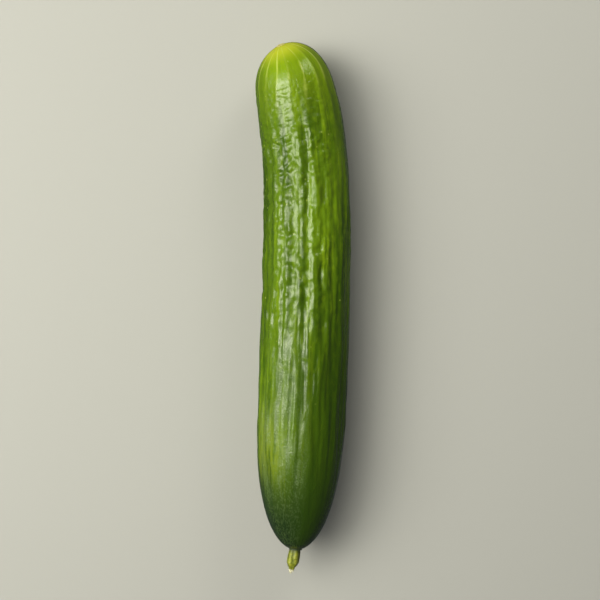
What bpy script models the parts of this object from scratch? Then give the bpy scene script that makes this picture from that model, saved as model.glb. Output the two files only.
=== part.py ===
"""A small smooth-skinned cucumber lying on its side, picked with the stub of its stem.

Metres, +Z up. The fruit lies along Y with its blossom end towards +Y and its stem towards -Y.
The origin is at the middle of the object's footprint, on the surface that it rests on.
"""

import math

import bpy
from mathutils import Vector

# Driving dimensions, in metres.
FRUIT_LENGTH = 0.180  # straight from blossom scar to stem socket
SHOULDER_RADIUS = 0.0133  # at the blossom end, before it rounds off
WAIST_RADIUS = 0.0151
BELLY_RADIUS = 0.0157  # the stem half, up to the neck
WAIST_STATION = 0.034  # both measured from the blossom end
BELLY_STATION = 0.085
BLOSSOM_CAP = 0.018  # how far each end takes to round off
NECK_CAP = 0.053
FULLNESS = 2.6  # of both ends, where 2 makes a half ellipse

# Handles of the fruit's axis seen from above: sideways, and along as a share of its length.
# It bows to +X, most of it in the blossom half.
BOW = (
    (-0.0074, 0.5),
    (0.0072, 0.32),
    (0.0016, 0.02),
    (-0.0020, -0.5),
)
TIP_LIFT = 0.0065  # the blossom end turns up a little
TIP_LIFT_LENGTH = 0.036

# Three broad lobes, one for each seed chamber, and ten faint ribs between the ends.
LOBES = 3
LOBE_DEPTH = 0.00022
RIBS = 10
RIB_DEPTH = 0.00016

# A lobe and a rib point down, and the fruit is pressed a little flat along them where it lies.
BELLY_ANGLE = math.radians(-90)
BELLY_FLAT = 0.00035

# The stem's stub stands in a shallow socket, a hair's breadth clear of it.
SOCKET_RADIUS = 0.0029
SOCKET_FLOOR_RADIUS = 0.0027
SOCKET_DEPTH = 0.0006
JOINT_GAP = 0.0003
STEM_LENGTH = 0.0084  # past the end of the fruit, with its torn tip
STEM_TIP_LENGTH = 0.0015
STEM_BASE_RADIUS = 0.00195
STEM_RADIUS = 0.00215  # at the middle of the stub
STEM_SWELL_LENGTH = 0.0020  # how far it takes to swell to that
STEM_DRAW_START = 0.0046  # where it starts to draw in
STEM_NECK_RADIUS = 0.0011  # where the torn tip begins
STEM_TIP_RADIUS = 0.0008
STEM_RIDGES = 5
STEM_RIDGE_DEPTH = 0.00014
STEM_OFFSET = -0.0003  # the stub starts a little to -X of the axis, and leans further
STEM_LEAN = -0.0010

SKIN_GREEN = (0.09, 0.2, 0.02)
SKIN_ROUGHNESS = 0.35
STEM_GREEN = (0.3, 0.36, 0.06)
STEM_ROUGHNESS = 0.5

# How finely the surfaces are divided.
FRUIT_RINGS = 44
FRUIT_SIDES = 48
STEM_RINGS = 13
STEM_SIDES = 20
AXIS_STEPS = 240

UP = Vector((0, 0, 1))


def smooth_step(low, high, value):
    share = min(1.0, max(0.0, (value - low) / (high - low)))
    return share * share * (3 - 2 * share)


def bezier(handles, share):
    """A point, sideways and along, of the cubic curve with four handles."""
    rest = 1 - share
    weights = (rest**3, 3 * rest**2 * share, 3 * rest * share**2, share**3)
    return [sum(w * handle[k] for w, handle in zip(weights, handles)) for k in range(2)]


def body_radius(station):
    """The radius at a station from the blossom end, before either end rounds off."""
    to_waist = (WAIST_RADIUS - SHOULDER_RADIUS) * smooth_step(0, WAIST_STATION, station)
    to_belly = (BELLY_RADIUS - WAIST_RADIUS) * smooth_step(WAIST_STATION, BELLY_STATION, station)
    return SHOULDER_RADIUS + to_waist + to_belly


def axis_points():
    """Points down the axis from the blossom end, as high as the body's radius, so that it lies level."""
    line = []
    for step in range(AXIS_STEPS + 1):
        x, along = bezier(BOW, step / AXIS_STEPS)
        from_tip = FRUIT_LENGTH * (BOW[0][1] - along)
        near_tip = max(0.0, 1 - from_tip / TIP_LIFT_LENGTH)
        z = body_radius(from_tip) + TIP_LIFT * near_tip**2
        line.append(Vector((x, FRUIT_LENGTH * along, z)))
    return line


def measured(line):
    """The length along a line at each of its points."""
    lengths = [0.0]
    for start, end in zip(line, line[1:]):
        lengths.append(lengths[-1] + (end - start).length)
    return lengths


def frame_at(line, lengths, station):
    """The point of a line at a station along it, with its direction, and the side and top across it."""
    index = 1
    while index < len(line) - 1 and lengths[index] < station:
        index += 1
    start, end = line[index - 1], line[index]
    share = (station - lengths[index - 1]) / (lengths[index] - lengths[index - 1])
    direction = (end - start).normalized()
    side = UP.cross(direction).normalized()
    return start.lerp(end, share), direction, side, direction.cross(side)


def cap_share(distance, cap_length):
    """How wide a rounded end is at a distance from its tip, as a share of its full width."""
    if distance >= cap_length:
        return 1.0
    return math.sqrt(1 - (1 - max(0.0, distance) / cap_length) ** FULLNESS)


def fruit_radius(station, length):
    """The radius before lobes and ribs, at a station from the blossom end."""
    blossom = cap_share(station, BLOSSOM_CAP)
    neck = cap_share(length - station, NECK_CAP)
    least = SOCKET_RADIUS if station > length / 2 else 0.0
    return max(least, body_radius(station) * blossom * neck)


def relief(angle, station, length):
    """How far lobes and ribs lift the skin. Both fade out at the two ends."""
    fade = smooth_step(0, WAIST_STATION, station) * smooth_step(0, NECK_CAP, length - station)
    turn = angle - BELLY_ANGLE
    return fade * (LOBE_DEPTH * math.cos(LOBES * turn) + RIB_DEPTH * math.cos(RIBS * turn))


def ring(frame, sides, radius_at):
    """A closed ring of points across a frame."""
    point, _, side, top = frame
    found = []
    for index in range(sides):
        angle = 2 * math.pi * index / sides
        radius = radius_at(angle)
        found.append(point + side * (radius * math.cos(angle)) + top * (radius * math.sin(angle)))
    return found


def skinned(name, first, rings, last, colour, roughness):
    """A closed object through rings of equal count, with a point at each end."""
    sides = len(rings[0])
    points = [first] + [p for one in rings for p in one] + [last]
    faces = []
    for index in range(sides):
        after = (index + 1) % sides
        faces.append((0, 1 + after, 1 + index))
        for row in range(len(rings) - 1):
            here, below = 1 + row * sides, 1 + (row + 1) * sides
            faces.append((here + index, here + after, below + after, below + index))
        low = 1 + (len(rings) - 1) * sides
        faces.append((low + index, low + after, len(points) - 1))
    mesh = bpy.data.meshes.new(name)
    mesh.from_pydata(points, [], faces)
    mesh.shade_smooth()
    mesh.materials.append(material(name, colour, roughness))
    made = bpy.data.objects.new(name, mesh)
    bpy.context.scene.collection.objects.link(made)
    return made


def material(name, colour, roughness):
    made = bpy.data.materials.new(name)
    made.use_nodes = True
    shader = made.node_tree.nodes["Principled BSDF"]
    shader.inputs["Base Color"].default_value = (*colour, 1)
    shader.inputs["Roughness"].default_value = roughness
    shader.inputs["Metallic"].default_value = 0.0
    return made


def make_fruit(line, lengths):
    """The fruit in one piece, from the blossom scar to the floor of the stem socket."""
    length = lengths[-1]
    rings = []
    for row in range(1, FRUIT_RINGS + 1):
        station = length * (1 - math.cos(math.pi * row / FRUIT_RINGS)) / 2
        rings.append(
            ring(
                frame_at(line, lengths, station),
                FRUIT_SIDES,
                lambda angle: fruit_radius(station, length) + relief(angle, station, length),
            )
        )
    end = frame_at(line, lengths, length)
    inward = -end[1] * SOCKET_DEPTH
    floor = (end[0] + inward, *end[1:])
    rings.append(ring(floor, FRUIT_SIDES, lambda angle: SOCKET_FLOOR_RADIUS))
    lowest = BELLY_FLAT - LOBE_DEPTH - RIB_DEPTH
    for points in rings:
        for point in points:
            point.z = max(point.z, lowest)
    return skinned("fruit", line[0], rings, floor[0], SKIN_GREEN, SKIN_ROUGHNESS)


def stem_radius(distance):
    """The stub swells a little past its foot, then draws in to its torn tip."""
    body = STEM_LENGTH - STEM_TIP_LENGTH
    if distance > body:
        share = (distance - body) / STEM_TIP_LENGTH
        return STEM_NECK_RADIUS + (STEM_TIP_RADIUS - STEM_NECK_RADIUS) * share
    swell = smooth_step(0, STEM_SWELL_LENGTH, distance)
    draw = smooth_step(STEM_DRAW_START, body, distance)
    full = STEM_BASE_RADIUS + (STEM_RADIUS - STEM_BASE_RADIUS) * swell
    return full + (STEM_NECK_RADIUS - STEM_RADIUS) * draw


def make_stem(line, lengths):
    """The stub of the stem, with five ridges, standing in the socket."""
    end, direction, side, top = frame_at(line, lengths, lengths[-1])
    foot = end + direction * (JOINT_GAP - SOCKET_DEPTH) + side * STEM_OFFSET
    whole = STEM_LENGTH + SOCKET_DEPTH - JOINT_GAP
    centres = []
    rings = []
    for row in range(STEM_RINGS):
        share = row / (STEM_RINGS - 1)
        distance = share * STEM_LENGTH
        ridge = STEM_RIDGE_DEPTH * (1 - share**2)
        centres.append(foot + direction * (share * whole) + side * (STEM_LEAN * share))
        rings.append(
            ring(
                (centres[-1], direction, side, top),
                STEM_SIDES,
                lambda angle: stem_radius(distance) + ridge * math.cos(STEM_RIDGES * angle),
            )
        )
    return skinned("stem", centres[0], rings, centres[-1], STEM_GREEN, STEM_ROUGHNESS)


def footprint_centre(pieces):
    """The middle of the pieces' box, at the height of its lowest point."""
    points = [v.co for piece in pieces for v in piece.data.vertices]
    low = [min(p[k] for p in points) for k in range(3)]
    high = [max(p[k] for p in points) for k in range(3)]
    return Vector(((low[0] + high[0]) / 2, (low[1] + high[1]) / 2, low[2]))


for old in list(bpy.data.objects):
    bpy.data.objects.remove(old)

axis = axis_points()
stations = measured(axis)
fruit = make_fruit(axis, stations)
stem = make_stem(axis, stations)

origin = footprint_centre((fruit, stem))
cucumber = bpy.data.objects.new("cucumber", None)
bpy.context.scene.collection.objects.link(cucumber)
cucumber.location = -origin
for piece in (fruit, stem):
    piece.parent = cucumber
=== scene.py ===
import math

import bpy
import mathutils.noise
from mathutils import Matrix, Vector


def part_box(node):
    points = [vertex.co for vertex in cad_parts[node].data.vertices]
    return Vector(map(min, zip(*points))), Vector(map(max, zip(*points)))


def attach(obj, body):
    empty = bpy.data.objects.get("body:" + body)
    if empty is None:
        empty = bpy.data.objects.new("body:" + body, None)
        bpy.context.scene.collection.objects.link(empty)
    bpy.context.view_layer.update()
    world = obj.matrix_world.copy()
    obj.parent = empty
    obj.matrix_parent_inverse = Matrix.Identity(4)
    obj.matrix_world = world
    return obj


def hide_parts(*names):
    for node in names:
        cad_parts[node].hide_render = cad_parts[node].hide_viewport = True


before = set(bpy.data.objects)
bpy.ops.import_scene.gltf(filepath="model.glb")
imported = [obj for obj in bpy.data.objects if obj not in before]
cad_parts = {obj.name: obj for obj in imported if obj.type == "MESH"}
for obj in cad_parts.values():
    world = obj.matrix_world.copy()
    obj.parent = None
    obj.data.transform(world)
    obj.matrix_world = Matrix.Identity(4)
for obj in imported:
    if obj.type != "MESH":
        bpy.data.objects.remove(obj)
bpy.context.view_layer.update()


# The skin of the fruit, one waxy skin from its blossom scar to the floor of the socket round its stem.
# A sleeve is drawn along the bowed axis and closed at both ends. It swells where the flesh does, sinks
# in furrows and between facets, and puckers into blocks where the fruit has lost some water.

FRUIT_LENGTH = 0.180  # straight from blossom scar to stem socket
SHOULDER_RADIUS = 0.0133  # at the blossom end, before it rounds off
WAIST_RADIUS = 0.0151
BELLY_RADIUS = 0.0157  # the stem half, up to the neck
WAIST_STATION = 0.034  # both measured from the blossom end
BELLY_STATION = 0.085
BLOSSOM_CAP = 0.018  # how far each end takes to round off
NECK_CAP = 0.053
FULLNESS = 2.6  # of both ends, where 2 makes a half ellipse
LOBES = 3
LOBE_DEPTH = 0.00022
LYING_LEVEL = -0.00003  # of the strip that is pressed flat, with the round belly at 0

# Handles of the axis seen from above: sideways, and along as a share of its length.
BOW = ((-0.0074, 0.5), (0.0072, 0.32), (0.0016, 0.02), (-0.0020, -0.5))
TIP_LIFT = 0.0065  # the blossom end turns up a little
TIP_LIFT_LENGTH = 0.036

# Sides of the fruit, as turns about its axis. Its +X flank is at 0, its top at 90.
TOP_SIDE = math.radians(90)
BELLY_SIDE = math.radians(-90)
SLACK_SIDE = math.radians(112)  # has gone slack
WAX_AND_SHEEN_SIDE = math.radians(118)  # has the most wax, and the painted sheen
GROUND_SIDE = math.radians(142)  # touched the ground as it grew
LOW_PAINTED_SHADE_SIDE = math.radians(185)  # painted shade in the blossom half
PAINTED_SHADE_SIDE = math.radians(-12)  # painted shade from the middle of the fruit on
NECK_PAINTED_SHADE_SIDE = math.radians(28)  # where the painted shade has wound to at the neck

# Furrows down the upper side, with the share of the full depth that each has.
FURROWS = ((TOP_SIDE, 1.0), (math.radians(52), 0.45), (math.radians(146), 0.6))
FURROW_STEEP_WIDTH = math.radians(3.512)  # on the +X side of each
FURROW_GENTLE_WIDTH = math.radians(10.44)
FURROW_BEND = 0.20  # both in radians, from one extreme to the other
FACET_WANDER = 0.36

FACETS = 18
FACET_SINK = 0.4  # share of a corner's height taken off all round, so that the girth stays
FACET_LEAN = math.radians(6)  # at the blossom end
CREASE_WIDTH = 0.13  # share of a facet
BLOCKS_ACROSS = 1.1  # for each facet
SHORTEST_BLOCK = 0.0008  # at the blossom end
BLOCK_GROWTH = 0.075  # how much longer a block is for each unit further along
BLOCK_SLIP = 0.8  # how unevenly they lie, as a share of a block
BLOCK_SLOPE = 0.34  # how far in from its edge a block slopes, as a share of it

SOCKET_RADIUS = 0.0023
SOCKET_DEPTH = 0.0009
SOCKET_ROWS = 0.02  # how many rows line the socket, as a share of the others
SOCKET_WALL = 0.35  # share of those that are on its wall
CALLUS_REACH = 0.0009
CALLUS_HEIGHT = 0.00007
CROWDED = 0.12  # share of the rows, at each end, that stand closer
WELD = 0.000001


class Wire:
    """A number on its way through a node tree, so that a rule can be written as a formula."""

    def __init__(self, tree, socket):
        self.tree = tree
        self.socket = socket

    def math(self, operation, *others):
        node = self.tree.nodes.new("ShaderNodeMath")
        node.operation = operation
        for place, value in zip(node.inputs, (self, *others)):
            join(self.tree, place, value)
        return Wire(self.tree, node.outputs[0])

    def __add__(self, other):
        return self.math("ADD", other)

    def __sub__(self, other):
        return self.math("SUBTRACT", other)

    def __mul__(self, other):
        return self.math("MULTIPLY", other)

    def __truediv__(self, other):
        return self.math("DIVIDE", other)

    def __pow__(self, other):
        return self.math("POWER", other)

    def __neg__(self):
        return self.math("MULTIPLY", -1.0)

    def from_one(self):
        """One less this number."""
        return -self + 1.0

    def step(self, low, high, start=0.0, end=1.0):
        """A smooth change from start to end as this number goes from low to high."""
        node = self.tree.nodes.new("ShaderNodeMapRange")
        node.interpolation_type = "SMOOTHSTEP"
        for place, value in zip(node.inputs, (self, low, high, start, end)):
            join(self.tree, place, value)
        return Wire(self.tree, node.outputs[0])


def join(tree, place, value):
    """Puts a wire, an output or a plain value on an input of a node."""
    if isinstance(value, Wire):
        value = value.socket
    if isinstance(value, bpy.types.NodeSocket):
        tree.links.new(value, place)
    else:
        place.default_value = value


def add(tree, kind, inputs=None, **settings):
    """A node with its settings made and its inputs joined."""
    node = tree.nodes.new(kind)
    for name, value in settings.items():
        setattr(node, name, value)
    for name, value in (inputs or {}).items():
        join(tree, node.inputs[name], value)
    return node


def sized(tree, *inputs):
    """Gives a tree a mesh as its output and these sizes as its inputs, and returns their sockets."""
    tree.interface.new_socket("Mesh", in_out="OUTPUT", socket_type="NodeSocketGeometry")
    for name, kind, value in inputs:
        item = tree.interface.new_socket(name, in_out="INPUT", socket_type="NodeSocket" + kind)
        if value is not None:
            item.default_value = value
    return add(tree, "NodeGroupInput").outputs


def noise(tree, place, around, along, shift, detail=1.0):
    """Soft noise from 0 to 1, in grains of this size round and along. Each shift is another pattern."""
    fitted = {0: place, 1: (1 / around, 1 / around, 1 / along)}
    grains = add(tree, "ShaderNodeVectorMath", fitted, operation="MULTIPLY").outputs[0]
    moved = add(tree, "ShaderNodeVectorMath", {0: grains, 1: (shift, shift, shift)}).outputs[0]
    made = add(tree, "ShaderNodeTexNoise", {"Vector": moved, "Scale": 1.0, "Detail": detail})
    return Wire(tree, made.outputs["Fac"])


def vector(tree, operation, inputs):
    """The outcome of a vector operation."""
    return add(tree, "ShaderNodeVectorMath", inputs, operation=operation).outputs[0]


def square_to(tree, first, second):
    """The direction that stands square to two others."""
    return vector(tree, "NORMALIZE", {0: vector(tree, "CROSS_PRODUCT", {0: first, 1: second})})


def position(tree):
    """Where each point is, as its X, Y and Z."""
    place = add(tree, "GeometryNodeInputPosition").outputs[0]
    return add(tree, "ShaderNodeSeparateXYZ", {0: place}).outputs


def thickness(station):
    """The radius of the flesh at a station from the blossom end, before either end rounds off."""
    waist = station.step(0, WAIST_STATION, 0, WAIST_RADIUS - SHOULDER_RADIUS)
    belly = station.step(WAIST_STATION, BELLY_STATION, 0, BELLY_RADIUS - WAIST_RADIUS)
    return waist + belly + SHOULDER_RADIUS


def rounded(distance, cap):
    """The share of its full width that a rounded end has at a distance from its tip."""
    short = (distance / cap).from_one().math("MAXIMUM", 0.0)
    return (short**FULLNESS).from_one().math("MAXIMUM", 0.0).math("SQRT")


def facing(turn, side):
    """How squarely a place on the skin faces a side: 1 on that side, 0 a quarter turn away."""
    return (turn - side).math("COSINE")


def skin_tree():
    """The tree that draws the skin."""
    tree = bpy.data.node_groups.new("cucumber skin", "GeometryNodeTree")
    sizes = sized(
        tree,
        ("Sides", "Int", 224),
        ("Rows", "Int", 440),
        ("Lobe depth", "Float", LOBE_DEPTH),
        ("Furrow depth", "Float", 0.00060),
        ("Crease depth", "Float", 0.00026),
        ("Dent depth", "Float", 0.00040),
        ("Lump depth", "Float", 0.00052),
        ("Crinkle depth", "Float", 0.00040),
        ("Sliver depth", "Float", 0.00016),
        ("Ridge depth", "Float", 0.00170),
        ("Finish", "Material", None),
    )

    # The axis, bowed sideways, lifted at its tip, and as high as the flesh under it is thick.
    handles = [Vector((x, FRUIT_LENGTH * along, 0)) for x, along in BOW]
    named = dict(zip(("Start", "Start Handle", "End Handle", "End"), handles))
    bowed = add(tree, "GeometryNodeCurvePrimitiveBezierSegment", {"Resolution": 200, **named})
    evened = add(tree, "GeometryNodeResampleCurve", {"Curve": bowed.outputs[0], "Count": 300})
    from_tip = -Wire(tree, position(tree)["Y"]) + FRUIT_LENGTH / 2
    near_tip = (from_tip / TIP_LIFT_LENGTH).from_one().math("MAXIMUM", 0.0)
    height = thickness(from_tip) + near_tip * near_tip * TIP_LIFT
    up = add(tree, "ShaderNodeCombineXYZ", {"Z": height}).outputs[0]
    axis = add(tree, "GeometryNodeSetPosition", {"Geometry": evened.outputs[0], "Offset": up})
    length = Wire(tree, add(tree, "GeometryNodeCurveLength", {0: axis.outputs[0]}).outputs[0])

    # A sheet of sides and rows, which is rolled up round the axis. Its rows stand closer towards
    # both ends, and its last ones line the socket.
    sheet = add(
        tree,
        "GeometryNodeMeshGrid",
        {"Size X": 1.0, "Size Y": 1.0, "Vertices X": sizes["Sides"], "Vertices Y": sizes["Rows"]},
    )
    spot = position(tree)
    turn = Wire(tree, spot["X"]) * math.tau + math.pi / 2
    reach = (Wire(tree, spot["Y"]) + 0.5) * (1 + SOCKET_ROWS)
    inside = ((reach - 1.0) / SOCKET_ROWS).math("MAXIMUM", 0.0)
    row = reach.math("MINIMUM", 1.0)
    nearer = row.math("MINIMUM", row.from_one())
    packed = (-nearer + CROWDED).math("MAXIMUM", 0.0)
    even = (nearer - CROWDED / 2) / (1 - CROWDED) + packed * packed / (2 * CROWDED * (1 - CROWDED))
    stem_half = row.math("GREATER_THAN", 0.5)
    share = even + stem_half * (even * -2.0 + 1.0)
    station = share * length
    to_stem = length - station

    # A place on the skin as if it were a straight tube, for every pattern on it.
    tube = {"X": turn.math("COSINE") * BELLY_RADIUS, "Y": turn.math("SINE") * BELLY_RADIUS, "Z": station}
    place = add(tree, "ShaderNodeCombineXYZ", tube).outputs[0]

    # The plain body, with a lobe for each of its three seed chambers.
    radius = thickness(station) * rounded(station, BLOSSOM_CAP) * rounded(to_stem, NECK_CAP)
    radius = radius.math("MAXIMUM", stem_half * SOCKET_RADIUS)
    ends = station.step(0, WAIST_STATION) * to_stem.step(0, NECK_CAP)
    lobes = ((turn - BELLY_SIDE) * LOBES).math("COSINE") * Wire(tree, sizes["Lobe depth"])
    relief = lobes * ends

    # Three furrows run down the upper side. Each falls steeply on one side and gently on the other.
    bend = (noise(tree, place, around=0.020, along=0.030, shift=2.0, detail=0.0) - 0.5) * FURROW_BEND
    sinking = station.step(0.020, 0.045) * to_stem.step(0.030, 0.070)
    for side, depth in FURROWS:
        aside = turn + bend - side
        steep = aside.math("MINIMUM", 0.0) / FURROW_STEEP_WIDTH
        gentle = aside.math("MAXIMUM", 0.0) / FURROW_GENTLE_WIDTH
        furrow = (-(steep * steep + gentle * gentle)).math("EXPONENT") * depth
        relief = relief - furrow * sinking * Wire(tree, sizes["Furrow depth"])

    # Flat facets run down the fruit, with a crease between each two. They wander a little.
    wander = (noise(tree, place, around=0.010, along=0.024, shift=3.0) - 0.5) * FACET_WANDER
    lean = station.step(0.004, 0.034, FACET_LEAN, 0.0)
    column = (turn + wander + lean) * (FACETS / math.tau)
    across = column.math("FRACT") - 0.5
    to_crease = -across.math("ABSOLUTE") + 0.5
    flatness = noise(tree, place, around=0.006, along=0.030, shift=6.0).step(0.30, 0.65, 0.45, 1.25)
    flatness = flatness * station.step(0.0, 0.006) * to_stem.step(0.004, 0.060)
    corner = (math.pi / FACETS) ** 2 / 2
    relief = relief + (across * across * 4.0 - FACET_SINK) * radius * corner * flatness
    taken = noise(tree, place, around=0.006, along=0.024, shift=9.0).step(0.40, 0.58, 0.10, 1.0)
    creased = station.step(0.018, 0.036) * station.step(0.095, 0.140, 1.0, 0.30) * ends
    creases = to_crease.step(0.0, CREASE_WIDTH, 1.0, 0.0) * taken * creased

    # One flank has lost more water. Its facets are dented across into blocks, which get longer
    # away from the blossom end, and it is lumpy. The belly stays tight.
    slack_side = facing(turn, SLACK_SIDE).step(0.15, 0.75)
    patch = noise(tree, place, around=0.012, along=0.026, shift=5.0).step(0.42, 0.66)
    slack = (patch * 0.35).math("MAXIMUM", slack_side) * turn.math("SINE").step(-0.95, -0.55)
    relief = relief - creases * (slack * 0.6 + 0.4) * Wire(tree, sizes["Crease depth"])
    slip = (noise(tree, place, around=0.0035, along=0.006, shift=13.0) - 0.5) * BLOCK_SLIP
    blocks = (station * (BLOCK_GROWTH / SHORTEST_BLOCK) + 1.0).math("LOGARITHM", math.e) / BLOCK_GROWTH
    spread = {"X": column * BLOCKS_ACROSS, "Y": blocks + slip}
    cells = add(
        tree,
        "ShaderNodeTexVoronoi",
        {"Vector": add(tree, "ShaderNodeCombineXYZ", spread).outputs[0], "Scale": 1.0, "Randomness": 0.65},
        voronoi_dimensions="2D",
        feature="DISTANCE_TO_EDGE",
    )
    dent = Wire(tree, cells.outputs["Distance"]).step(0.0, BLOCK_SLOPE, 1.0, 0.0)
    strong = noise(tree, place, around=0.0040, along=0.0070, shift=17.0).step(0.36, 0.56, 0.15, 1.0)
    dented = slack * station.step(0.022, 0.040) * station.step(0.080, 0.115, 1.0, 0.0)
    relief = relief - dent * strong * dented * Wire(tree, sizes["Dent depth"])
    lump = noise(tree, place, around=0.0034, along=0.0036, shift=15.0, detail=0.5) - 0.5
    lumped = slack * station.step(0.016, 0.032) * station.step(0.090, 0.130, 1.0, 0.2)
    relief = relief + lump * lumped * Wire(tree, sizes["Lump depth"]) * 2.0

    # Crinkles run across near the blossom end, slivers run along past the blocks, and long soft
    # ridges carry on to the neck.
    crinkle = noise(tree, place, around=0.0023, along=0.0012, shift=7.0) - 0.5
    crinkled = station.step(0.010, 0.018) * station.step(0.026, 0.050, 1.0, 0.35)
    crinkled = crinkled * (slack * 0.85 + 0.15) * station.step(0.090, 0.120, 1.0, 0.0)
    relief = relief + crinkle * crinkled * Wire(tree, sizes["Crinkle depth"]) * 2.0
    sliver = noise(tree, place, around=0.0013, along=0.0060, shift=19.0) - 0.5
    slivered = station.step(0.040, 0.065) * station.step(0.100, 0.150, 1.0, 0.60)
    slivered = slivered * (slack * 0.80 + 0.20) * to_stem.step(0.020, 0.050)
    relief = relief + sliver * slivered * Wire(tree, sizes["Sliver depth"]) * 2.0
    ridge = noise(tree, place, around=0.0022, along=0.024, shift=11.0) - 0.5
    ridged = station.step(0.020, 0.070) * to_stem.step(0.012, 0.050)
    relief = relief + ridge * ridged * Wire(tree, sizes["Ridge depth"])

    # A callus stands round the socket, and the socket sinks in to its floor.
    past_lip = to_stem / CALLUS_REACH
    callus = (past_lip * past_lip + 1.0) ** -1.0 * stem_half * CALLUS_HEIGHT
    lined = (radius + relief + callus) * inside.from_one()
    sunk = inside.step(0.0, SOCKET_WALL) * SOCKET_DEPTH

    # Each point goes out from the axis to its side, and the fruit presses flat where it lies.
    on_axis = add(
        tree,
        "GeometryNodeSampleCurve",
        {"Curves": axis.outputs[0], "Length": station - sunk},
        mode="LENGTH",
    )
    forward = on_axis.outputs["Tangent"]
    flank = square_to(tree, (0, 0, 1), forward)
    top = square_to(tree, forward, flank)
    sideways = vector(tree, "SCALE", {0: flank, "Scale": turn.math("COSINE") * lined})
    upwards = vector(tree, "SCALE", {0: top, "Scale": turn.math("SINE") * lined})
    beside = vector(tree, "ADD", {0: on_axis.outputs["Position"], 1: sideways})
    out = vector(tree, "ADD", {0: beside, 1: upwards})
    parts = add(tree, "ShaderNodeSeparateXYZ", {0: out}).outputs
    lying = Wire(tree, parts["Z"]).math("MAXIMUM", LYING_LEVEL)
    pressed = add(tree, "ShaderNodeCombineXYZ", {"X": parts["X"], "Y": parts["Y"], "Z": lying})

    # What the finish has to know of each point is written on the mesh.
    # Painted shade: the flank away from the window, from the middle of the fruit to the neck, and the low
    # -X flank of the blossom half are marked to be painted darker.
    painted_shade_turn = station.step(0.070, 0.155, PAINTED_SHADE_SIDE, NECK_PAINTED_SHADE_SIDE)
    painted_shade = facing(turn, painted_shade_turn).step(0.0, 0.80) * station.step(0.060, 0.120)
    low_painted_shade = station.step(0.0005, 0.010) * station.step(0.095, 0.125, 1.0, 0.0)
    painted_shade = painted_shade + facing(turn, LOW_PAINTED_SHADE_SIDE).step(0.40, 0.95) * low_painted_shade * 0.6
    grounded = station.step(0.118, 0.145) * station.step(0.146, 0.162, 1.0, 0.0)
    grounded = grounded * facing(turn, GROUND_SIDE).step(0.78, 0.98)
    geometry = sheet.outputs["Mesh"]
    for name, kind, domain, value in (
        ("place", "FLOAT_VECTOR", "POINT", place),
        ("from_tip", "FLOAT", "POINT", (radius * radius + station * station).math("SQRT")),
        ("to_crease", "FLOAT", "POINT", to_crease),
        ("painted_shade", "FLOAT", "POINT", painted_shade),
        ("waxy_and_sheen", "FLOAT", "POINT", facing(turn, WAX_AND_SHEEN_SIDE).step(0.72, 0.97)),
        ("grounded", "FLOAT", "POINT", grounded),
        ("to_stem", "FLOAT", "POINT", to_stem),
        ("OFBake", "FLOAT2", "CORNER", sheet.outputs["UV Map"]),
    ):
        written = {"Geometry": geometry, "Name": name, "Value": value}
        kept = add(tree, "GeometryNodeStoreNamedAttribute", written, data_type=kind, domain=domain)
        geometry = kept.outputs[0]

    # The points go to their places, and the seam and both ends are welded shut.
    drawn = add(tree, "GeometryNodeSetPosition", {"Geometry": geometry, "Position": pressed.outputs[0]})
    welded = add(tree, "GeometryNodeMergeByDistance", {"Geometry": drawn.outputs[0], "Distance": WELD})
    smooth = add(tree, "GeometryNodeSetShadeSmooth", {"Geometry": welded.outputs[0]})
    finished(tree, smooth.outputs[0], sizes["Finish"])
    return tree


def finished(tree, geometry, finish):
    """Ends a tree with a plain mesh in its finish."""
    real = add(tree, "GeometryNodeRealizeInstances", {"Geometry": geometry})
    shown = add(tree, "GeometryNodeSetMaterial", {"Geometry": real.outputs[0], "Material": finish})
    join(tree, add(tree, "NodeGroupOutput").inputs[0], shown.outputs[0])


def put(name, data):
    """An object in the scene that holds this mesh, light or camera."""
    made = bpy.data.objects.new(name, data)
    bpy.context.scene.collection.objects.link(made)
    return made


def grown(name, tree, finish):
    """A piece made by a tree, as a plain mesh in this finish."""
    host = put(name + "_tree", bpy.data.meshes.new(name + "_tree"))
    modifier = host.modifiers.new("grow", "NODES")
    modifier.node_group = tree
    for item in tree.interface.items_tree:
        if item.name == "Finish":
            modifier[item.identifier] = finish
    graph = bpy.context.evaluated_depsgraph_get()
    mesh = bpy.data.meshes.new_from_object(host.evaluated_get(graph), depsgraph=graph)
    bpy.data.objects.remove(host)
    mesh.name = name
    return put(name, mesh)


def face_out(mesh):
    """Turns a closed mesh's faces outwards if they point in."""
    mesh.calc_loop_triangles()
    volume = 0.0
    for face in mesh.loop_triangles:
        a, b, c = (mesh.vertices[i].co for i in face.vertices)
        volume += a.dot(b.cross(c))
    if volume < 0:
        mesh.flip_normals()


def new_finish(name):
    """A material with its shader, still plain."""
    made = bpy.data.materials.new(name)
    made.use_nodes = True
    return made


skin_finish = new_finish("cucumber_skin")
skin = grown("skin", skin_tree(), skin_finish)
face_out(skin.data)
low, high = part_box("fruit")
own_low = Vector([min(v.co[k] for v in skin.data.vertices) for k in range(3)])
own_high = Vector([max(v.co[k] for v in skin.data.vertices) for k in range(3)])
moved = ((low + high) - (own_low + own_high)) / 2
moved.z = low.z - own_low.z
skin.data.transform(Matrix.Translation(moved))

# The skin's finish: a thin wax over green that is freshest on the body, yellow at the blossom end and dark
# at the neck, where the dark is partly its own green and partly painted shade. Pale rays run from the
# blossom scar and break up into streaks.

DEEP_GREEN = (0.040, 0.086, 0.0008, 1)
FRESH_GREEN = (0.108, 0.195, 0.0022, 1)
LIGHT_GREEN = (0.195, 0.305, 0.004, 1)
TIP_YELLOW = (0.450, 0.490, 0.022, 1)
RAY_CREAM = (0.500, 0.570, 0.110, 1)
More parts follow.
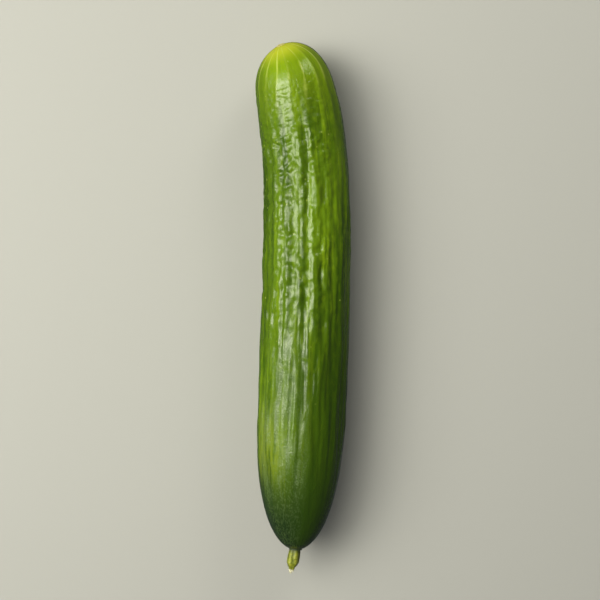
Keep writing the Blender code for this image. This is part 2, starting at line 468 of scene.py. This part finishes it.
# Painted shade, for the flanks away from the light.
PAINTED_SHADE_GREEN = (0.024, 0.056, 0.0008, 1)
NECK_GREEN_AND_SHADE = (0.009, 0.024, 0.006, 1)
GROUND_YELLOW = (0.250, 0.320, 0.022, 1)
# Partly the wax bloom's own grey and partly a painted sheen.
WAX_GREY_AND_SHEEN = (0.140, 0.210, 0.075, 1)
CORK_GREY = (0.060, 0.080, 0.040, 1)
SKIN_ROUGHNESS = 0.13  # where it is glossiest
SKIN_BUMP = 0.00010
FLESH_SHARE = 0.06  # of the light that goes into the flesh
FLESH_DEPTH = (0.0010, 0.0016, 0.0003)  # how far its red, green and blue go


def attribute(tree, name):
    """A number that was written on the mesh."""
    return Wire(tree, add(tree, "ShaderNodeAttribute", attribute_name=name).outputs["Fac"])


def pattern_place(tree):
    """The place that was written on the mesh for its patterns."""
    return add(tree, "ShaderNodeAttribute", attribute_name="place").outputs["Vector"]


def along_piece(tree, place):
    """How far along its piece a place is."""
    return Wire(tree, add(tree, "ShaderNodeSeparateXYZ", {0: place}).outputs["Z"])


def blended(tree, share, first, second):
    """A colour on the way from the first to the second."""
    mix = add(tree, "ShaderNodeMix", {0: share}, data_type="RGBA")
    from_colour, to_colour = (socket for socket in mix.inputs if socket.type == "RGBA")
    join(tree, from_colour, first)
    join(tree, to_colour, second)
    return next(socket for socket in mix.outputs if socket.type == "RGBA")


def fleck_group():
    """Small round flecks of uneven size, scattered over a surface, as a mask from 0 to 1."""
    tree = bpy.data.node_groups.new("flecks", "ShaderNodeTree")
    for name, kind in (("Place", "Vector"), ("Spacing", "Float"), ("Width", "Float"), ("Share", "Float")):
        tree.interface.new_socket(name, in_out="INPUT", socket_type="NodeSocket" + kind)
    tree.interface.new_socket("Mask", in_out="OUTPUT", socket_type="NodeSocketFloat")
    given = add(tree, "NodeGroupInput").outputs
    spacing = Wire(tree, given["Spacing"])
    cells = add(
        tree,
        "ShaderNodeTexVoronoi",
        {"Vector": given["Place"], "Scale": spacing**-1.0, "Randomness": 1.0},
    )
    dice = Wire(tree, add(tree, "ShaderNodeSeparateColor", {0: cells.outputs["Color"]}).outputs[0])
    size = dice * Wire(tree, given["Width"]) / spacing
    spot = Wire(tree, cells.outputs["Distance"]).step(size * 0.4, size, 1.0, 0.0)
    chosen = dice.math("GREATER_THAN", Wire(tree, given["Share"]).from_one())
    join(tree, add(tree, "NodeGroupOutput").inputs[0], spot * chosen)
    return tree


flecks = fleck_group()


def flecked(tree, place, spacing, width, share):
    """Flecks this far apart and up to this wide. The share is of the spots that have one."""
    group = add(tree, "ShaderNodeGroup", node_tree=flecks)
    values = {"Place": place, "Spacing": spacing, "Width": width, "Share": share}
    for name, value in values.items():
        join(tree, group.inputs[name], value)
    return Wire(tree, group.outputs["Mask"])


def bumped(tree, height, distance, strength):
    """The normal of a surface with this relief on it."""
    inputs = {"Height": height, "Distance": distance, "Strength": strength}
    return add(tree, "ShaderNodeBump", inputs).outputs["Normal"]


def skin_nodes(tree):
    """The nodes of the skin's finish."""
    shader = tree.nodes["Principled BSDF"]
    place = pattern_place(tree)
    station = along_piece(tree, place)
    to_stem = attribute(tree, "to_stem")
    from_tip = attribute(tree, "from_tip")

    # Streaks and threads of lighter green run down the body, between soft clouds of the two greens.
    streak = noise(tree, place, around=0.0030, along=0.045, shift=21.0, detail=2.0).step(0.38, 0.62)
    thread = noise(tree, place, around=0.0008, along=0.020, shift=23.0).step(0.50, 0.72)
    mottle = noise(tree, place, around=0.0017, along=0.0034, shift=25.0, detail=2.0).step(0.46, 0.70)
    cloud = noise(tree, place, around=0.010, along=0.030, shift=27.0).step(0.35, 0.65)
    colour = blended(tree, streak * 0.65 + cloud * 0.30, DEEP_GREEN, FRESH_GREEN)
    colour = blended(tree, thread * 0.55 * streak, colour, LIGHT_GREEN)
    colour = blended(tree, mottle * to_stem.step(0.010, 0.060) * 0.25, colour, LIGHT_GREEN)

    # The blossom end pales to yellow, with a cream ray on each crease.
    colour = blended(tree, from_tip.step(0.010, 0.036, 0.75, 0.0), colour, LIGHT_GREEN)
    colour = blended(tree, from_tip.step(0.003, 0.013, 1.0, 0.0), colour, TIP_YELLOW)
    patchy = noise(tree, place, around=0.005, along=0.008, shift=29.0, detail=2.0)
    rayed = from_tip.step(0.001, 0.004) * from_tip.step(0.012, 0.032, 1.0, 0.0)
    rayed = rayed * patchy.step(0.34, 0.60, 0.15, 1.0)
    wide = noise(tree, place, around=0.004, along=0.005, shift=37.0) * 0.30
    ray = attribute(tree, "to_crease").step(0.0, wide, 1.0, 0.0) * rayed
    colour = blended(tree, ray * from_tip.step(0.004, 0.020, 0.80, 0.50), colour, RAY_CREAM)

    # The neck is darkest, partly in its own dark green and partly in painted shade. Painted shade also
    # darkens the flank away from the window and the low -X flank of the blossom half. A patch that touched
    # the ground is yellow.
    # Partly painted shade: the neck's dark green.
    colour = blended(tree, to_stem.step(0.008, 0.050, 0.96, 0.0), colour, NECK_GREEN_AND_SHADE)
    colour = blended(tree, attribute(tree, "painted_shade") * 0.8, colour, PAINTED_SHADE_GREEN)
    blotchy = noise(tree, place, around=0.0014, along=0.0130, shift=39.0, detail=3.0)
    ground = attribute(tree, "grounded") * blotchy.step(0.34, 0.62, 0.10, 1.0)
    colour = blended(tree, ground * 0.50, colour, GROUND_YELLOW)

    # The wax is thickest above the neck, in a bloom of fine dots, and its grey on the side that faces the
    # window is partly a painted sheen. Pale pores are scattered over the body, and the skin is corky round
    # the stem.
    waxy_and_sheen = attribute(tree, "waxy_and_sheen")
    cloudy = noise(tree, place, around=0.006, along=0.020, shift=31.0, detail=2.0).step(0.35, 0.60)
    bloom_and_sheen = to_stem.step(0.010, 0.030) * to_stem.step(0.050, 0.085, 1.0, 0.0) * cloudy * waxy_and_sheen
    dots = flecked(tree, place, spacing=0.0006, width=0.0005, share=0.9)
    colour = blended(tree, bloom_and_sheen * (dots * 0.55 + 0.20), colour, WAX_GREY_AND_SHEEN)
    grain = noise(tree, place, around=0.0007, along=0.0009, shift=43.0, detail=2.0).step(0.44, 0.66)
    colour = blended(tree, grain * to_stem.step(0.020, 0.080, 0.22, 0.08) * waxy_and_sheen, colour, WAX_GREY_AND_SHEEN)
    pores = flecked(tree, place, spacing=0.0024, width=0.0005, share=0.16)
    colour = blended(tree, pores * to_stem.step(0.040, 0.080) * 0.30, colour, RAY_CREAM)
    colour = blended(tree, to_stem.step(0.0004, 0.0020, 0.8, 0.0), colour, CORK_GREY)
    join(tree, shader.inputs["Base Color"], colour)

    # The puckered stretch is more satin than the rest, and the bloom is duller.
    smear = noise(tree, place, around=0.005, along=0.016, shift=33.0, detail=2.0)
    satin = station.step(0.012, 0.030) * station.step(0.070, 0.110, 1.0, 0.0) * 0.07
    join(tree, shader.inputs["Roughness"], smear * 0.12 + SKIN_ROUGHNESS + satin + bloom_and_sheen * 0.12)
    fine = noise(tree, place, around=0.00050, along=0.00060, shift=35.0, detail=2.0)
    height = fine * 0.6 + dots * bloom_and_sheen * 0.6 + pores * 0.4 + mottle * 0.6
    join(tree, shader.inputs["Normal"], bumped(tree, height, SKIN_BUMP, 0.8))
    shader.inputs["Subsurface Weight"].default_value = FLESH_SHARE
    shader.inputs["Subsurface Radius"].default_value = FLESH_DEPTH
    shader.inputs["Subsurface Scale"].default_value = 1.0


skin_nodes(skin_finish.node_tree)
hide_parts("fruit")
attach(skin, "root")


# The blossom scar: the dry corky button that is left where the flower dropped off. It sits in the
# middle of the rays, with a raised rim, a sunken middle and cracks that run outwards.

SCAR_RADIUS = 0.0015
SCAR_HEIGHT = 0.00030
SCAR_SIDES = 60
SCAR_CRACKS = 9
CRACK_DEPTH = 0.5  # share of the scar's height

# From the middle of its face, over the rim and into the skin, as shares of its radius and height.
SCAR_PROFILE = (
    (0.12, 0.30),
    (0.30, 0.42),
    (0.50, 0.85),
    (0.68, 1.00),
    (0.86, 0.80),
    (1.00, 0.10),
    (0.95, -1.20),
)
CRACK_FROM, CRACK_TO = 0.3, 0.9  # the stretch of the profile that cracks, as shares of its radius
CORK = (0.460, 0.420, 0.140, 1)
CORK_DARK = (0.200, 0.150, 0.045, 1)
CORK_BUMP = 0.00006


def meshed(name, rings, finish):
    """A closed piece through rings of equal count, with its two ends closed at a point."""
    sides = len(rings[0])
    ends = [sum(ring, Vector()) / sides for ring in (rings[0], rings[-1])]
    points = [ends[0]] + [point for ring in rings for point in ring] + [ends[1]]
    faces = []
    for side in range(sides):
        after = (side + 1) % sides
        faces.append((0, 1 + side, 1 + after))
        for row in range(len(rings) - 1):
            here, beyond = 1 + row * sides, 1 + (row + 1) * sides
            faces.append((here + side, beyond + side, beyond + after, here + after))
        outer = 1 + (len(rings) - 1) * sides
        faces.append((outer + side, len(points) - 1, outer + after))
    mesh = bpy.data.meshes.new(name)
    mesh.from_pydata(points, [], faces)
    mesh.shade_smooth()
    mesh.materials.append(finish)
    face_out(mesh)
    return put(name, mesh)


def mark(mesh, name, values):
    """Writes a number for each point on a mesh, for its finish to read."""
    mesh.attributes.new(name, "FLOAT", "POINT").data.foreach_set("value", values)


def cork_nodes(tree):
    """The nodes of the scar's finish: dry cork, dark in its cracks."""
    shader = tree.nodes["Principled BSDF"]
    place = add(tree, "ShaderNodeTexCoord").outputs["Object"]
    grain = noise(tree, place, around=0.0003, along=0.0003, shift=41.0, detail=3.0)
    dark = attribute(tree, "crack") * 0.8 + grain.step(0.45, 0.7, 0.0, 0.4)
    join(tree, shader.inputs["Base Color"], blended(tree, dark, CORK, CORK_DARK))
    join(tree, shader.inputs["Roughness"], grain * 0.2 + 0.65)
    join(tree, shader.inputs["Normal"], bumped(tree, grain, CORK_BUMP, 0.8))


scar_finish = new_finish("corky_scar")
cork_nodes(scar_finish.node_tree)

from_tip = [item.value for item in skin.data.attributes["from_tip"].data]
apex = skin.data.vertices[from_tip.index(min(from_tip))]
upright = Vector((0, 0, 1)).rotation_difference(apex.normal).to_matrix().to_4x4()
rings = []
cracks = []
for wide, high in SCAR_PROFILE:
    ring = []
    for side in range(SCAR_SIDES):
        angle = math.tau * side / SCAR_SIDES
        wobble = 1 + 0.07 * math.sin(3 * angle + 1) + 0.04 * math.sin(7 * angle)
        crack = max(0.0, math.cos(SCAR_CRACKS * angle + math.sin(2 * angle))) ** 6
        reach = SCAR_RADIUS * wide * wobble
        height = SCAR_HEIGHT * (high - CRACK_DEPTH * crack * (CRACK_FROM < wide < CRACK_TO))
        ring.append(Vector((reach * math.cos(angle), reach * math.sin(angle), height)))
        cracks.append(crack)
    rings.append(ring)
scar = meshed("blossom_scar", rings, scar_finish)
mark(scar.data, "crack", [0.5, *cracks, 0.0])
scar.data.transform(Matrix.Translation(apex.co) @ upright)
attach(scar, "root")


# The stem's stub: green and fibrous, with five blunt ridges. It grew out of the socket, swells like
# a barrel, and draws in to the place where it was twisted off.

STEM_LENGTH = 0.0080  # past the end of the fruit
STEM_OFFSET = -0.0003  # it starts a little to -X of the axis, and leans further
STEM_LEAN = -0.0010
STEM_RIDGES = 5
STEM_TWIST = 0.25  # of the ridges, from foot to tip, in radians
STEM_GROOVE_DEPTH = 0.14  # share of its radius
STEM_ROUGH = 0.00008
STEM_FINE_ROUGH = 0.00003
STEM_SIDES = 80
STEM_ROWS = 64

# Its radius at distances past the end of the fruit.
STEM_PROFILE = (
    (-0.0008, 0.00190),
    (0.0002, 0.00196),
    (0.0012, 0.00208),
    (0.0030, 0.00218),
    (0.0046, 0.00212),
    (0.0058, 0.00166),
    (0.0067, 0.00106),
    (0.0073, 0.00096),
    (STEM_LENGTH, 0.00082),
)
TEAR_START = 0.0069  # where the torn end turns white
TEAR_JAG = 0.0011  # how far its edge is torn back
TEAR_DEPTH = 0.0010  # of the hollow in it
TEAR_DRAW = 0.45  # how far the edge is drawn in towards the floor of the hollow
STEM_CRACK_AND_SHADE = (0.070, 0.090, 0.006, 1)
STEM_GREEN = (0.165, 0.195, 0.010, 1)
STEM_RIDGE = (0.340, 0.360, 0.040, 1)
TORN_WHITE = (0.780, 0.740, 0.560, 1)
STEM_BUMP = 0.00010


def stem_radius(distance):
    """The radius of the stub at a distance past the end of the fruit."""
    for (near, first), (far, second) in zip(STEM_PROFILE, STEM_PROFILE[1:]):
        if distance <= far:
            share = (distance - near) / (far - near)
            return first + (second - first) * share * share * (3 - 2 * share)
    return STEM_PROFILE[-1][1]


def stem_nodes(tree):
    """The nodes of the stem's finish: pale ridges, grooves and a foot painted darker as shade, and a white
    torn end.
    """
    shader = tree.nodes["Principled BSDF"]
    place = pattern_place(tree)
    beyond = along_piece(tree, place)
    fibre = noise(tree, place, around=0.00022, along=0.0030, shift=51.0, detail=2.0)
    blotch = noise(tree, place, around=0.0010, along=0.0016, shift=53.0, detail=2.0).step(0.35, 0.65)
    # Painted shade: the grooves are darker. The fibres and blotches are the stem's own.
    light = attribute(tree, "groove").from_one() * 0.40 + fibre * 0.5 + blotch * 0.5 - 0.15
    colour = blended(tree, light.step(0.0, 0.35), STEM_CRACK_AND_SHADE, STEM_GREEN)
    colour = blended(tree, light.step(0.35, 0.90, 0.0, 0.85), colour, STEM_RIDGE)
    specks = flecked(tree, place, spacing=0.0006, width=0.00035, share=0.5)
    colour = blended(tree, specks * 0.7, colour, STEM_RIDGE)
    cracks = noise(tree, place, around=0.0009, along=0.0005, shift=55.0, detail=2.0).step(0.54, 0.64)
    colour = blended(tree, cracks * 0.6, colour, STEM_CRACK_AND_SHADE)
    # Painted shadow: the foot of the stub, next to the fruit, is darker.
    colour = blended(tree, beyond.step(0.0004, 0.0012, 0.75, 0.0), colour, STEM_CRACK_AND_SHADE)
    torn = (beyond + (fibre - 0.5) * 0.0014).step(TEAR_START, TEAR_START + 0.0005)
    colour = blended(tree, torn, colour, TORN_WHITE)
    join(tree, shader.inputs["Base Color"], colour)
    join(tree, shader.inputs["Roughness"], torn * 0.30 + fibre * 0.20 + 0.30)
    join(tree, shader.inputs["Normal"], bumped(tree, fibre * 0.7 + specks * 0.3, STEM_BUMP, 0.9))


stem_finish = new_finish("green_stem")
stem_nodes(stem_finish.node_tree)

fruit_end = Vector((BOW[3][0], BOW[3][1] * FRUIT_LENGTH, BELLY_RADIUS)) + moved
stem_way = Vector((BOW[3][0] - BOW[2][0], (BOW[3][1] - BOW[2][1]) * FRUIT_LENGTH, 0)).normalized()
stem_side = Vector((0, 0, 1)).cross(stem_way)
stem_tip = fruit_end + stem_way * STEM_LENGTH + stem_side * (STEM_OFFSET + STEM_LEAN)
rings = []
places = []
grooves = []
for row in range(STEM_ROWS + 1):
    share = row / STEM_ROWS
    distance = STEM_PROFILE[0][0] + share * (STEM_LENGTH - STEM_PROFILE[0][0])
    centre = fruit_end + stem_side * (STEM_OFFSET + STEM_LEAN * max(0.0, distance) / STEM_LENGTH)
    ring = []
    for side in range(STEM_SIDES):
        angle = math.tau * side / STEM_SIDES
        groove = abs(math.sin(STEM_RIDGES * (angle + STEM_TWIST * share) / 2 + 0.3)) ** 2.4
        around = Vector((math.cos(angle), math.sin(angle), 0))
        rough = mathutils.noise.noise(around * 1.6 + Vector((0, 0, distance * 900)))
        fine = mathutils.noise.noise(around * 7 + Vector((0, 0, distance * 1100)))
        reach = stem_radius(distance) * (1.06 - STEM_GROOVE_DEPTH * groove)
        reach += STEM_ROUGH * rough + STEM_FINE_ROUGH * fine
        jag = 0.5 + mathutils.noise.noise(around * 2.4 + Vector((5, 0, 0)))
        along = distance - TEAR_JAG * share**12 * jag
        point = centre + stem_way * along
        point += stem_side * (reach * around.x) + Vector((0, 0, reach * around.y))
        ring.append(point)
        places.append((around.x * 0.002, around.y * 0.002, along))
        grooves.append(groove)
    rings.append(ring)

# One more ring turns in to the hollow of the torn end, with the marks of the ring before it.
hollow = stem_tip - stem_way * TEAR_DEPTH
rings.append([point.lerp(hollow, TEAR_DRAW) for point in rings[-1]])
places += places[-STEM_SIDES:]
grooves += grooves[-STEM_SIDES:]
stem = meshed("stem_stub", rings, stem_finish)
numbers = [number for place in (places[0], *places, places[-1]) for number in place]
stem.data.attributes.new("place", "FLOAT_VECTOR", "POINT").data.foreach_set("vector", numbers)
mark(stem.data, "groove", [0.5, *grooves, 0.5])
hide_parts("stem")
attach(stem, "root")


# The torn fibres: the pale strands that ran through the stem, pulled out and broken when the fruit
# was picked. Each is a thin tapered strand, a little bent, standing on the torn end.

FIBRE_COUNT = 46
FIBRE_LENGTH = 0.0011
FIBRE_WIDTH = 0.00016
FIBRE_SPREAD = 0.00070
FIBRE_BEND = 1.6  # of its tip, in widths
FIBRE_TIP = 0.1  # its width at the tip, as a share
FIBRE_TILT = 0.35  # to any side, in radians
FIBRE_ROOT = 0.0011  # how far back from the stem's tip they stand


def fibre_tree():
    """The tree that stands bent, tapered fibres on a small disc."""
    tree = bpy.data.node_groups.new("torn fibres", "GeometryNodeTree")
    sizes = sized(
        tree,
        ("Count", "Int", FIBRE_COUNT),
        ("Length", "Float", FIBRE_LENGTH),
        ("Width", "Float", FIBRE_WIDTH),
        ("Spread", "Float", FIBRE_SPREAD),
        ("Seed", "Int", 4),
        ("Finish", "Material", None),
    )

    def chance(low, high, draw):
        """A number between low and high for each fibre. Each draw has its own seed."""
        node = add(tree, "FunctionNodeRandomValue", data_type="FLOAT")
        least, most = [socket for socket in node.inputs if socket.type == "VALUE"][:2]
        join(tree, least, low)
        join(tree, most, high)
        join(tree, node.inputs["Seed"], Wire(tree, sizes["Seed"]) + draw)
        return Wire(tree, next(socket for socket in node.outputs if socket.type == "VALUE"))

    angle = chance(0.0, math.tau, 0)
    reach = chance(0.0, 1.0, 1).math("SQRT") * Wire(tree, sizes["Spread"])
    disc = {"X": angle.math("COSINE") * reach, "Y": angle.math("SINE") * reach}
    spot = add(tree, "ShaderNodeCombineXYZ", disc).outputs[0]
    roots = add(tree, "GeometryNodePoints", {"Count": sizes["Count"], "Position": spot})

    line = add(tree, "GeometryNodeCurvePrimitiveLine", {"End": (0, 0, 1)})
    evened = add(tree, "GeometryNodeResampleCurve", {"Curve": line.outputs[0], "Count": 6})
    up = Wire(tree, add(tree, "GeometryNodeSplineParameter").outputs["Factor"])
    bend = add(tree, "ShaderNodeCombineXYZ", {"X": up * up * FIBRE_BEND}).outputs[0]
    bent = add(tree, "GeometryNodeSetPosition", {"Geometry": evened.outputs[0], "Offset": bend})
    width = (up * up).from_one() * (1 - FIBRE_TIP) + FIBRE_TIP
    taper = add(tree, "GeometryNodeSetCurveRadius", {"Curve": bent.outputs[0], "Radius": width})
    outline = add(tree, "GeometryNodeCurvePrimitiveCircle", {"Resolution": 6, "Radius": 0.5})
    strand = add(
        tree,
        "GeometryNodeCurveToMesh",
        {"Curve": taper.outputs[0], "Profile Curve": outline.outputs[0], "Fill Caps": True},
    )

    thick = Wire(tree, sizes["Width"]) * chance(0.6, 1.3, 2)
    tall = Wire(tree, sizes["Length"]) * chance(0.35, 1.25, 3)
    scale = add(tree, "ShaderNodeCombineXYZ", {"X": thick, "Y": thick, "Z": tall}).outputs[0]
    turns = {
        "X": chance(-FIBRE_TILT, FIBRE_TILT, 4),
        "Y": chance(-FIBRE_TILT, FIBRE_TILT, 5),
        "Z": chance(0.0, math.tau, 6),
    }
    tilt = add(tree, "ShaderNodeCombineXYZ", turns).outputs[0]
    stood = add(
        tree,
        "GeometryNodeInstanceOnPoints",
        {"Points": roots.outputs[0], "Instance": strand.outputs[0], "Rotation": tilt, "Scale": scale},
    )
    finished(tree, stood.outputs[0], sizes["Finish"])
    return tree


def fibre_nodes(tree):
    """The nodes of the fibres' finish: pale, with a little of the stem's green."""
    shader = tree.nodes["Principled BSDF"]
    place = add(tree, "ShaderNodeTexCoord").outputs["Object"]
    grain = noise(tree, place, around=0.00020, along=0.00020, shift=61.0, detail=2.0)
    colour = blended(tree, grain.step(0.40, 0.75, 0.0, 0.6), TORN_WHITE, STEM_RIDGE)
    join(tree, shader.inputs["Base Color"], colour)
    join(tree, shader.inputs["Roughness"], grain * 0.2 + 0.5)


fibre_finish = new_finish("torn_fibres")
fibre_nodes(fibre_finish.node_tree)
fibres = grown("torn_fibres", fibre_tree(), fibre_finish)
outward = Vector((0, 0, 1)).rotation_difference(stem_way).to_matrix().to_4x4()
fibres.data.transform(Matrix.Translation(stem_tip - stem_way * FIBRE_ROOT) @ outward)
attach(fibres, "root")


# The floor that the fruit lies on, plain and pale and no part of it. Gloss doesn't show the floor,
# which would lay a grey haze over a skin that is so much darker.

FLOOR_REACH = 3.0
FLOOR_GREY = (0.42, 0.42, 0.41, 1)
FLOOR_ROUGHNESS = 0.8

floor_finish = new_finish("pale_floor")
floor_shader = floor_finish.node_tree.nodes["Principled BSDF"]
floor_shader.inputs["Base Color"].default_value = FLOOR_GREY
floor_shader.inputs["Roughness"].default_value = FLOOR_ROUGHNESS
floor_mesh = bpy.data.meshes.new("floor")
corners = [(FLOOR_REACH * x, FLOOR_REACH * y, 0) for x, y in ((-1, -1), (1, -1), (1, 1), (-1, 1))]
floor_mesh.from_pydata(corners, [], [(0, 1, 2, 3)])
floor_mesh.materials.append(floor_finish)
floor = put("floor", floor_mesh)
floor.visible_glossy = False


# The light: a window on the fruit's -X side with a net curtain and a curtain round it, so that its
# picture in the gloss has a soft edge, and a fainter window past the blossom end. The ceiling, the
# far wall and the air of the room only fill the shadows.

WARM_WHITE = (1.0, 0.98, 0.84)
SKY_WHITE = (0.9, 0.95, 1.0, 1)
SKY_STRENGTH = 0.08
WINDOW_PLACE = (-0.44, 0.11, 0.60)
CEILING_PLACE = (-0.38, 0.11, 0.64)
NEAR_AIM = (0, 0.01, 0)
FAR_PLACE = (0.30, 0.55, 0.36)
FAR_AIM = (0, 0.02, 0)


def panel(name, place, aim, width, height, power, glossy=True):
    """A soft rectangular light, with its height along the fruit. Gloss can be kept from showing it."""
    light = bpy.data.lights.new(name, "AREA")
    light.shape = "RECTANGLE"
    light.size = width
    light.size_y = height
    light.energy = power
    light.color = WARM_WHITE
    made = put(name, light)
    made.visible_glossy = glossy
    made.location = place
    back = (Vector(place) - Vector(aim)).normalized()
    across = Vector((0, 1, 0)).cross(back).normalized()
    made.rotation_euler = Matrix((across, back.cross(across), back)).transposed().to_euler()


panel("window", WINDOW_PLACE, NEAR_AIM, width=0.32, height=0.26, power=2.5)
panel("net curtain", WINDOW_PLACE, NEAR_AIM, width=0.64, height=0.42, power=3.0)
panel("curtain", WINDOW_PLACE, NEAR_AIM, width=0.96, height=0.64, power=1.9)
panel("ceiling", CEILING_PLACE, NEAR_AIM, width=0.86, height=0.60, power=3.4, glossy=False)
panel("far window", FAR_PLACE, FAR_AIM, width=0.14, height=0.24, power=0.6)
panel("far wall", FAR_PLACE, FAR_AIM, width=0.34, height=0.28, power=0.9, glossy=False)
world = bpy.data.worlds.new("room")
world.use_nodes = True
world.node_tree.nodes["Background"].inputs["Color"].default_value = SKY_WHITE
world.node_tree.nodes["Background"].inputs["Strength"].default_value = SKY_STRENGTH
bpy.context.scene.world = world


# The camera looks straight down on the fruit, from as far away as its lens needs. The plain view
# transform keeps the green of the skin, which the others turn grey.

VIEW_WIDTH = 0.2150  # at the height of the fruit's axis
VIEW_MIDDLE = (-0.0012, 0.0028)
LENS = 90.0
SENSOR = 36.0

lens = bpy.data.cameras.new("camera")
lens.lens = LENS
lens.sensor_width = SENSOR
camera = put("camera", lens)
camera.location = (*VIEW_MIDDLE, VIEW_WIDTH * LENS / SENSOR + BELLY_RADIUS)
bpy.context.scene.camera = camera
bpy.context.scene.view_settings.view_transform = "Standard"
